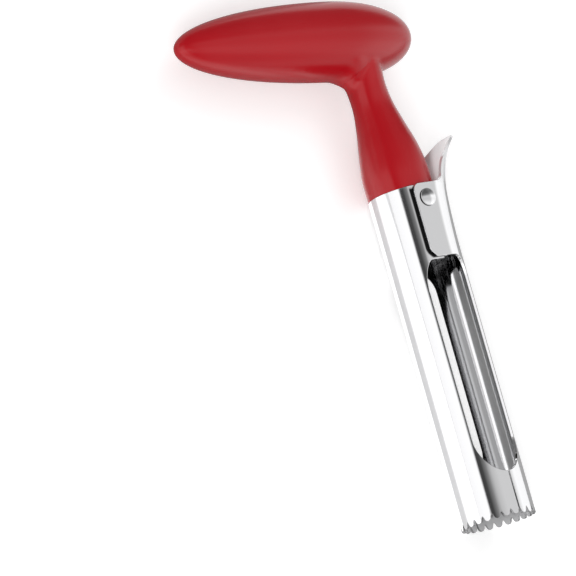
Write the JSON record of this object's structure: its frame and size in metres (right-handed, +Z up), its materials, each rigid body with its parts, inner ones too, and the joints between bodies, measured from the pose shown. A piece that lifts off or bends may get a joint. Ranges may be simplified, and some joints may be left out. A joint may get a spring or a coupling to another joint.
{
  "type": "apple corer",
  "caption": "T-handled fruit corer: a toothed steel tube split lengthwise, one half fixed under a moulded grip and the other hinged on a rivet with a thumb lever.",
  "frame": {"origin": "on the surface that the corer lies on, under the middle of its bounding box", "axes": "+X along the tube from the teeth to the grip, +Y towards the grip's long end, +Z up, along the hinge rivet, with the corer lying on its side as it rests"},
  "size_m": [0.1596, 0.0868, 0.0236],
  "materials": {
    "grip": "matt red moulded plastic with a fine surface",
    "blade_steel": "mirror-polished stainless steel",
    "rivet_steel": "polished stainless steel"
  },
  "bodies": {
    "body": {"handle": "grip", "fixed_blade": "blade_steel", "hinge_rivet": "rivet_steel"},
    "release": {"release_blade": "blade_steel"}
  },
  "joints": [
    {"name": "release_hinge", "type": "hinge", "parent": "body", "child": "release", "pos_m": [0.01548, -0.02121, 0.01158], "axis": [-0.0054, 0.0052, 1], "range_deg": [0, 25]}
  ]
}
